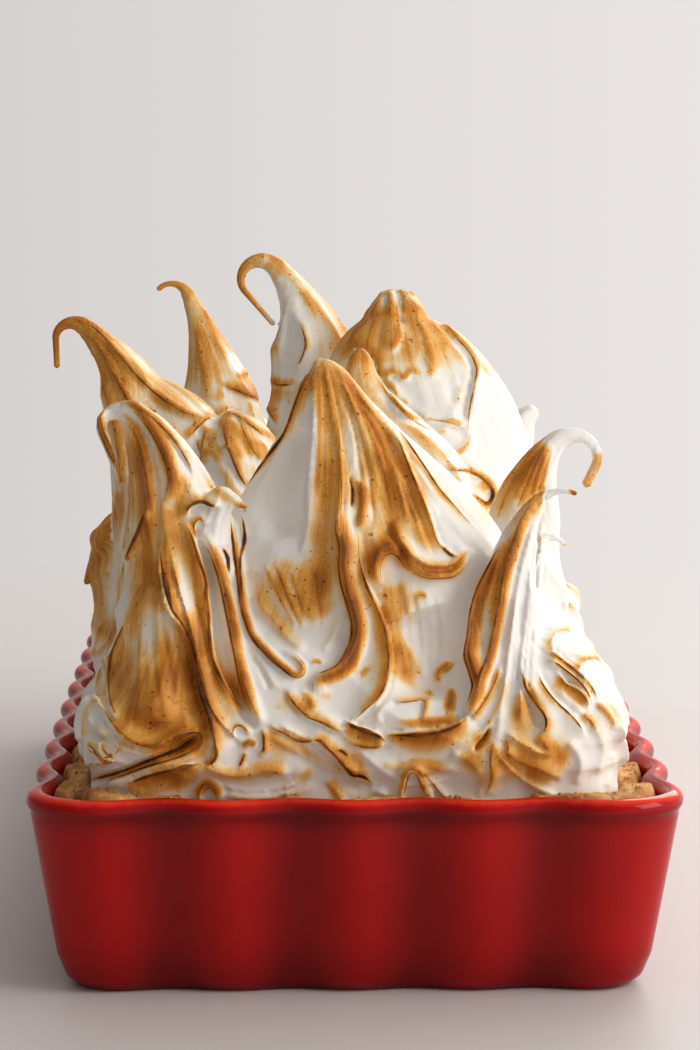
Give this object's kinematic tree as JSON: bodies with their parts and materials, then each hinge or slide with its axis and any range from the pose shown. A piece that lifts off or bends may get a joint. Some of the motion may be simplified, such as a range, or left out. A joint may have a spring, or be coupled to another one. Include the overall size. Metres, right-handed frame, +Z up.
{
  "type": "lime meringue tart",
  "caption": "Long shortcrust tart in its fluted red glazed baking dish, covered edge to edge with tall torched meringue drawn into hooked peaks.",
  "frame": {"origin": "middle of the dish's flat underside", "axes": "+Z up, +Y along the dish away from the short front side, +X to the right seen from the front"},
  "size_m": [0.156, 0.3616, 0.1695],
  "materials": {
    "glazed_red": "glossy deep red glaze",
    "baked_pastry": null,
    "torched_meringue": null
  },
  "bodies": {
    "root": {"dish": "glazed_red", "crust": "baked_pastry", "meringue": "torched_meringue"}
  },
  "joints": []
}
